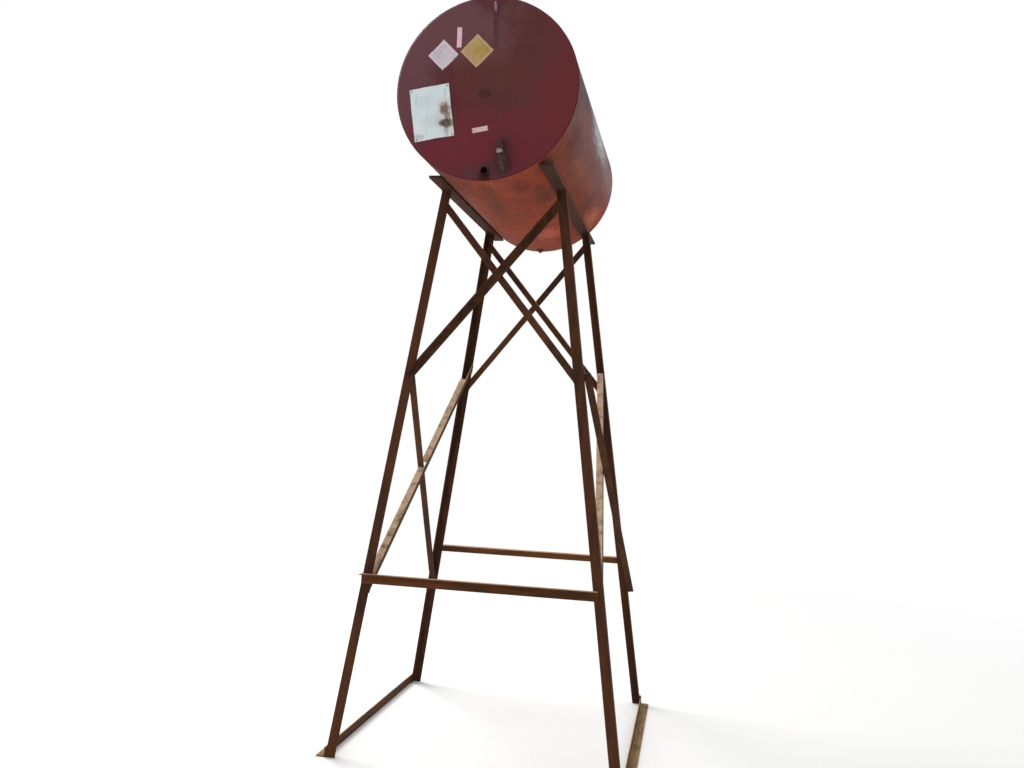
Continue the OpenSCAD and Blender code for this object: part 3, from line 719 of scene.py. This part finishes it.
def hexagon_nut(name, front, across_flats, height, stud, material):
    """A nut on the valve's stem, seen from the front, with the end of its stud standing out of it."""
    chamfer = across_flats * 0.05
    land = across_flats * 0.18
    bpy.ops.object.select_all(action="DESELECT")
    bpy.ops.mesh.primitive_cylinder_add(vertices=6, radius=across_flats / math.sqrt(3), depth=height)
    nut = bpy.context.active_object
    bpy.ops.object.mode_set(mode="EDIT")
    select_top(nut)
    bpy.ops.mesh.inset(thickness=chamfer)
    bpy.ops.transform.translate(value=(0.0, 0.0, height * 0.12))
    bpy.ops.mesh.inset(thickness=land)
    bpy.ops.mesh.extrude_region_move(TRANSFORM_OT_translate={"value": (0.0, 0.0, stud)})
    bpy.ops.mesh.inset(thickness=chamfer)
    bpy.ops.transform.translate(value=(0.0, 0.0, stud * 0.25))
    bpy.ops.object.mode_set(mode="OBJECT")
    edge = nut.modifiers.new("edge", "BEVEL")
    edge.width = across_flats * 0.025
    edge.segments = 2
    bpy.ops.object.modifier_apply(modifier=edge.name)
    place = Matrix.Translation((stem_middle.x, front, stem_middle.z))
    nut.matrix_world = place @ out_of_head @ Matrix.Translation((0.0, 0.0, height / 2))
    return keep(nut, name, material)


hexagon_nut("lever_nut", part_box("valve_lever")[0].y, across_flats=0.015, height=0.0055, stud=0.0035,
            material=lever_steel)
hexagon_nut("packing_nut", stem_high.y, across_flats=0.019, height=0.0060, stud=0.0010,
            material=brass)
drain_low, drain_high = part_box("drain_coupling")
drain_middle = (drain_low + drain_high) / 2
drain_bore = 0.0169
thread_pitch = 0.0022
thread_start = 0.6
thread_turns = int((drain_high.y - drain_low.y) / thread_pitch) - 1
thread_steps = 30
thread = bpy.data.curves.new("drain_thread", "CURVE")
thread.dimensions = "3D"
thread.bevel_depth = 0.0008
thread.bevel_resolution = 1
thread.use_fill_caps = True
spline = thread.splines.new("POLY")
spline.points.add(thread_turns * thread_steps)
for step, point in enumerate(spline.points):
    turn = 2 * math.pi * step / thread_steps
    across = drain_middle.x + drain_bore * math.cos(turn)
    depth = drain_low.y + thread_pitch * (thread_start + step / thread_steps)
    point.co = (across, depth, drain_middle.z + drain_bore * math.sin(turn), 1.0)
drain_thread = bpy.data.objects.new("drain_thread", thread)
scene.collection.objects.link(drain_thread)
only(drain_thread)
bpy.ops.object.convert(target="MESH")
keep(bpy.context.active_object, "drain_thread", head_paint)

# Lifting lug: a galvanised plate with a hole, welded on edge to the head near its top.
# Its pale weathered zinc is scratched, and the paint has been kept off it.
lug_metal = worn_metal("lug_metal", metal=(0.40, 0.30, 0.31), dull=(0.27, 0.185, 0.195),
                       stain=(0.130, 0.055, 0.050), stain_depth=0.6, rough=(0.5, 0.75), shine=0.3)
dress(lug_metal, "lifting_lug")
lug_bead = 0.0036
lug_low, lug_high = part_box("lifting_lug")
lug_foot = head_face - bead_seat
lug_runs = []
for x in (lug_low.x - bead_seat, lug_high.x + bead_seat):
    lug_runs.append([Vector((x, lug_foot, z)) for z in (lug_low.z, lug_high.z)])
for z in (lug_low.z, lug_high.z):
    lug_runs.append([Vector((x, lug_foot, z)) for x in (lug_low.x, lug_high.x)])
lay_beads("lug_welds", lug_runs, lug_bead, head_paint)

# Openings of the shell: two pipe sockets welded through its top with cast caps on them, and a
# square-headed plug in its belly near the back.
dress(shell_paint, "belly_plug", "fill_socket", "vent_socket")
dress(zinc, "fill_cap", "vent_cap")
saddle_bead = 0.0042
saddle_seat = 0.0012
saddle_steps = 60


def saddle(node, above):
    """The line where an upright pipe meets the shell: above is 1 on top and -1 underneath."""
    low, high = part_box(node)
    middle = (low + high) / 2
    pipe = (high.x - low.x) / 2 + bead_seat
    line = []
    for step in range(saddle_steps + 1):
        turn = 2 * math.pi * step / saddle_steps
        x = pipe * math.cos(turn)
        rise = math.sqrt(tank_radius ** 2 - x ** 2) + saddle_seat
        line.append(Vector((x, middle.y + pipe * math.sin(turn), tank_height + above * rise)))
    return line


saddles = [saddle("fill_socket", 1), saddle("vent_socket", 1), saddle("belly_plug", -1)]
lay_beads("socket_welds", saddles, saddle_bead, shell_paint)


# Placard: a sheet of painted steel riveted to the head, left blank. Its white has gone grey,
# rust has come through at two places, and its edges are bent up between the rivets.
class Sheet:
    """A flat rectangle on the head: its middle, its size, and how far it is turned."""

    def __init__(self, middle, wide, tall, tilt=0.0):
        self.middle = middle
        self.wide = wide
        self.tall = tall
        self.tilt = tilt
        self.place = Matrix.Translation(middle) @ out_of_head @ Matrix.Rotation(tilt, 4, "Z")

    def at(self, across, rise, out):
        """A point from -1 to 1 across and up the sheet, and that far out in front of it."""
        return self.place @ Vector((across * self.wide / 2, rise * self.tall / 2, out))

    def rim(self, tree, place):
        """A pattern that is 0 in its middle and 1 at its edges."""
        half = (self.wide / 2, 1.0, self.tall / 2)
        turned = put(tree, "Mapping", {"Vector": place, "Location": self.middle, "Scale": half,
                                       "Rotation": (0.0, -self.tilt, 0.0)}, vector_type="TEXTURE")
        size = put(tree, "VectorMath", {0: turned.outputs["Vector"]}, operation="ABSOLUTE")
        parts = put(tree, "SeparateXYZ", {"Vector": size.outputs["Vector"]}).outputs
        return sums(tree, "MAXIMUM", parts["X"], parts["Z"])

    def model(self, name, material, slot, thick, cell, lifts):
        """Models it in cells of that size. A lift is a place, from -1 to 1, its height and its reach."""
        columns = round(self.wide / cell)
        rows = round(self.tall / cell)
        bpy.ops.object.select_all(action="DESELECT")
        bpy.ops.mesh.primitive_grid_add(x_subdivisions=columns, y_subdivisions=rows, size=1.0)
        sheet = bpy.context.active_object
        sheet.scale = (self.wide, self.tall, 1.0)
        bpy.ops.object.transform_apply(scale=True)
        bpy.ops.object.mode_set(mode="EDIT")
        for across, rise, lift, reach in lifts:
            bpy.ops.mesh.select_all(action="DESELECT")
            shape = bmesh.from_edit_mesh(sheet.data)
            spot = Vector((across * self.wide / 2, rise * self.tall / 2))
            nearest = min(shape.verts, key=lambda vert: (vert.co.xy - spot).length)
            nearest.select_set(True)
            shape.select_flush_mode()
            bmesh.update_edit_mesh(sheet.data)
            bpy.ops.transform.translate(value=(0.0, 0.0, lift), use_proportional_edit=True,
                                        proportional_edit_falloff="SMOOTH", proportional_size=reach)
        bpy.ops.object.mode_set(mode="OBJECT")
        wall = sheet.modifiers.new("wall", "SOLIDIFY")
        wall.thickness = thick
        wall.offset = 1.0
        bpy.ops.object.modifier_apply(modifier=wall.name)
        sheet.matrix_world = self.place
        return keep(sheet, name, material)


placard = Sheet(on_head(-0.2685, -0.1185, out=0.0012), wide=0.203, tall=0.266, tilt=math.radians(8.8))
placard_paint, tree, shader, place = new_finish("placard_paint")
broad = grain(tree, place, 9.0, 5.0, 0.6, 0.5)
blotch = grain(tree, place, 34.0, 8.0, 0.65)
speck = grain(tree, place, 260.0, 5.0, 0.7)
drip = grain(tree, stretched(tree, place, (1.0, 1.0, 0.15)), 70.0, 5.0, 0.6)
ragged = plus(tree, swing(tree, blotch, 0.95), swing(tree, speck, 0.25))
colour = coat(tree, window(tree, broad, 0.38, 0.62), (0.665, 0.755, 0.760), (0.735, 0.790, 0.790))
colour = coat(tree, window(tree, blotch, 0.54, 0.70), colour, (0.540, 0.610, 0.610), 0.35)
colour = coat(tree, window(tree, drip, 0.56, 0.72), colour, (0.420, 0.340, 0.260), 0.22)
colour = head_blots(tree, place, colour, ragged, edge=0.40, blots=(
    (-0.193, -0.125, 0.060, 0.088, 0.35, (0.420, 0.360, 0.290)),
    (-0.203, -0.099, 0.026, 0.028, 0.95, (0.165, 0.108, 0.074)),
    (-0.191, -0.132, 0.015, 0.024, 0.80, (0.200, 0.112, 0.076)),
    (-0.190, -0.169, 0.032, 0.022, 0.98, (0.072, 0.038, 0.029)),
    (-0.207, -0.172, 0.016, 0.014, 0.92, (0.060, 0.034, 0.026)),
    (-0.186, -0.210, 0.007, 0.040, 0.45, (0.250, 0.150, 0.090)),
    (-0.197, -0.200, 0.004, 0.034, 0.40, (0.270, 0.170, 0.100)),
    (-0.176, -0.130, 0.005, 0.036, 0.45, (0.290, 0.180, 0.105)),
    (-0.352, -0.050, 0.003, 0.030, 0.35, (0.330, 0.230, 0.150)),
    (-0.205, -0.020, 0.003, 0.028, 0.35, (0.330, 0.230, 0.150)),
    (-0.330, -0.240, 0.026, 0.014, 0.40, (0.330, 0.280, 0.180)),
    (-0.300, -0.060, 0.060, 0.040, 0.22, (0.420, 0.500, 0.520)),
    (-0.270, -0.160, 0.055, 0.030, 0.20, (0.420, 0.480, 0.500)),
))
worn_rim = window(tree, plus(tree, placard.rim(tree, place), times(tree, ragged, 0.05)), 0.965, 1.01)
colour = coat(tree, worn_rim, colour, (0.260, 0.165, 0.105), 0.65)
rough = spread(tree, blotch, 0.35, 0.65, 0.45, 0.75)
relief = plus(tree, blotch, speck)
finish_off(tree, shader, colour, rough, relief, gloss=0.35, strength=0.3, height=0.0008)
placard_lifts = (
    (1, 0.10, 0.0050, 0.075),
    (0.1, -1, 0.0045, 0.065),
    (-1, 0.25, 0.0030, 0.070),
    (-0.1, 1, 0.0035, 0.060),
    (0.1, -0.2, 0.0012, 0.080),
)
placard.model("placard", placard_paint, "placard_white", thick=0.0010, cell=0.0068, lifts=placard_lifts)


def rivet(radius, height):
    """One blind rivet: a round flange, a dome, and the hole that its pin left."""
    bpy.ops.object.select_all(action="DESELECT")
    bpy.ops.mesh.primitive_cylinder_add(vertices=20, radius=radius, depth=height * 0.3)
    made = bpy.context.active_object
    bpy.ops.object.mode_set(mode="EDIT")
    select_top(made)
    for inset, lift in ((0.12, 0.26), (0.22, 0.28), (0.22, 0.12), (0.06, -0.30)):
        bpy.ops.mesh.inset(thickness=radius * inset)
        bpy.ops.transform.translate(value=(0.0, 0.0, height * lift))
    bpy.ops.object.mode_set(mode="OBJECT")
    return made


def rivet_down(name, model, spots, material):
    """Copies of one rivet, each with its own mesh, set on the head and joined."""
    copies = []
    for spot in spots:
        copy = model.copy()
        copy.data = model.data.copy()
        scene.collection.objects.link(copy)
        copy.matrix_world = Matrix.Translation(spot) @ out_of_head
        copies.append(copy)
    bpy.data.objects.remove(model)
    only(copies[0])
    for copy in copies:
        copy.select_set(True)
    bpy.ops.object.join()
    return keep(bpy.context.active_object, name, material, smooth=50.0)


rivet_metal = worn_metal("rivet_metal", metal=(0.45, 0.43, 0.40), dull=(0.30, 0.27, 0.24),
                         stain=(0.20, 0.10, 0.05), stain_depth=0.7, rough=(0.45, 0.75), shine=0.4)
placard_rivets = [placard.at(across, rise, out=0.0018)
                  for across in (-0.90, 0.90) for rise in (-0.92, 0.92)]
placard_rivet = rivet(radius=0.0042, height=0.0024)
rivet_down("placard_rivets", placard_rivet, placard_rivets, rivet_metal)

# Small plate: a narrow tag under the middle of the head, left blank, with a rivet at each end
# and its pale paint worn pink by the maroon behind it.
tag = Sheet(on_head(-0.020, -0.207, out=0.0005), wide=0.080, tall=0.025, tilt=math.radians(9.0))


def worn_label(name, sheet, field, faded, border, border_from, wear):
    """A printed film or painted tag with nothing on it: its field, its border, dirt and worn edges."""
    material, tree, shader, place = new_finish(name)
    broad = grain(tree, place, 16.0, 5.0, 0.6, 0.4)
    blotch = grain(tree, place, 55.0, 8.0, 0.65)
    speck = grain(tree, place, 300.0, 5.0, 0.7)
    relief = plus(tree, blotch, speck)
    rim = sheet.rim(tree, place)
    colour = coat(tree, window(tree, broad, 0.38, 0.62), field, faded)
    colour = coat(tree, window(tree, rim, border_from, border_from + 0.03), colour, border)
    colour = coat(tree, window(tree, blotch, 0.52, 0.70), colour, tuple(c * 0.55 for c in field), 0.40)
    ragged = times(tree, plus(tree, relief, -1.0), wear)
    torn = window(tree, plus(tree, rim, ragged), 0.97, 1.03)
    colour = coat(tree, torn, colour, (0.110, 0.045, 0.042), 0.85)
    specks = times(tree, window(tree, speck, 0.60, 0.68), window(tree, broad, 0.42, 0.60))
    colour = coat(tree, specks, colour, (0.120, 0.050, 0.040), 0.7)
    rough = spread(tree, blotch, 0.35, 0.65, 0.45, 0.70)
    finish_off(tree, shader, colour, rough, relief, gloss=0.35, strength=0.25, height=0.0005)
    return material


tag_paint = worn_label("tag_paint", tag, field=(0.640, 0.400, 0.395), faded=(0.690, 0.480, 0.470),
                       border=(0.580, 0.350, 0.350), border_from=0.90, wear=0.35)
tag_lifts = ((1, 1, 0.0010, 0.02),)
tag.model("small_plate", tag_paint, "placard_white", thick=0.0008, cell=0.004, lifts=tag_lifts)
tag_rivets = [tag.at(across, 0.0, out=0.0012) for across in (-0.90, 0.90)]
rivet_down("plate_rivets", rivet(radius=0.0026, height=0.0016), tag_rivets, rivet_metal)

# Diamond labels: two squares of printed film stuck on cornerwise, one grey and one ochre with
# a pale border. They are blank, and their corners have worn through and begun to lift.
film_thick = 0.0004
film_out = 0.0001
label_cell = 0.006
cornerwise = math.radians(45.0)
grey_side = 0.078 * math.sqrt(2)
ochre_side = 0.085 * math.sqrt(2)
grey_label = Sheet(on_head(-0.223, 0.170, film_out), grey_side, grey_side, cornerwise)
ochre_label = Sheet(on_head(-0.053, 0.185, film_out), ochre_side, ochre_side, cornerwise)
corner_lifts = ((1, 1, 0.0040, 0.030), (-1, -1, 0.0030, 0.026), (1, -1, 0.0026, 0.024))
grey_film = worn_label("grey_film", grey_label, field=(0.570, 0.485, 0.525), faded=(0.640, 0.550, 0.585),
                       border=(0.670, 0.565, 0.600), border_from=0.80, wear=0.30)
grey_label.model("grey_diamond", grey_film, "label_grey", film_thick, label_cell, corner_lifts)
ochre_film = worn_label("ochre_film", ochre_label, field=(0.400, 0.250, 0.056), faded=(0.470, 0.315, 0.120),
                        border=(0.490, 0.325, 0.190), border_from=0.80, wear=0.30)
ochre_label.model("ochre_diamond", ochre_film, "label_ochre", film_thick, label_cell, corner_lifts)

# Strip: a short length of pale tape that stands upright between the diamonds, its upper end
# curled forwards.
strip = Sheet(on_head(-0.145, 0.2545, film_out), wide=0.025, tall=0.101)
strip_film = worn_label("strip_film", strip, field=(0.700, 0.430, 0.495), faded=(0.760, 0.530, 0.565),
                        border=(0.620, 0.380, 0.430), border_from=0.88, wear=0.40)
strip_lifts = ((0, 1, 0.0060, 0.030), (1, -1, 0.0020, 0.015))
strip.model("pale_strip", strip_film, "label_grey", film_thick, cell=0.0035, lifts=strip_lifts)

# Floor: a wide pale sheet that the skids stand on, with the stand's soft shadow on it. Far away
# it fades into the white background.
fade_from = 2.2
fade_to = 7.5
bpy.ops.object.select_all(action="DESELECT")
bpy.ops.mesh.primitive_plane_add(size=60.0, location=(0.0, 0.0, 0.0))
floor = bpy.context.active_object
floor.name = "floor"
floor_paint, tree, shader, place = new_finish("floor_paint")
tone = coat(tree, grain(tree, place, 0.8, 3.0), (0.80, 0.80, 0.79), (0.82, 0.82, 0.81))
tree.links.new(tone, shader.inputs["Base Color"])
shader.inputs["Roughness"].default_value = 0.9
paths = put(tree, "LightPath").outputs
seen = sums(tree, "MAXIMUM", paths["Is Camera Ray"], paths["Is Glossy Ray"])
away = put(tree, "VectorMath", {0: place}, operation="LENGTH").outputs["Value"]
far = times(tree, window(tree, away, fade_from, fade_to), seen)
glow = put(tree, "Emission", {"Color": (1.0, 1.0, 1.0, 1.0), "Strength": 1.0})
fading = put(tree, "MixShader", {0: far, 1: shader.outputs[0], 2: glow.outputs[0]})
tree.links.new(fading.outputs[0], tree.nodes["Material Output"].inputs["Surface"])
floor.data.materials.append(floor_paint)

# Light: an even pale light from all round, and one large soft lamp high up behind on the left,
# so that the front of the tank lies in soft shade and the left sides of the legs are lit.
world = bpy.data.worlds.new("studio")
scene.world = world
world.use_nodes = True
tree = world.node_tree
background = tree.nodes["Background"]
paths = put(tree, "LightPath").outputs
seen = sums(tree, "MAXIMUM", sums(tree, "MAXIMUM", paths["Is Camera Ray"], paths["Is Glossy Ray"]),
            paths["Is Transmission Ray"])
backdrop = put(tree, "Background", {"Color": (1.0, 1.0, 1.0, 1.0), "Strength": 1.0})
background.inputs["Color"].default_value = (0.95, 0.97, 1.0, 1.0)
background.inputs["Strength"].default_value = 0.86
choice = put(tree, "MixShader", {0: seen, 1: background.outputs[0], 2: backdrop.outputs[0]})
tree.links.new(choice.outputs[0], tree.nodes["World Output"].inputs["Surface"])
lamp_data = bpy.data.lights.new("soft_lamp", "AREA")
lamp_data.energy = 800.0
lamp_data.size = 5.0
lamp_data.color = (1.0, 0.96, 0.90)
lamp = bpy.data.objects.new("soft_lamp", lamp_data)
scene.collection.objects.link(lamp)
lamp.location = (-5.5, 3.5, 8.0)
lamp_aim = Vector((0.0, 0.0, 2.0))
lamp.rotation_euler = (lamp_aim - lamp.location).to_track_quat("-Z", "Y").to_euler()

scene.view_settings.view_transform = "Standard"
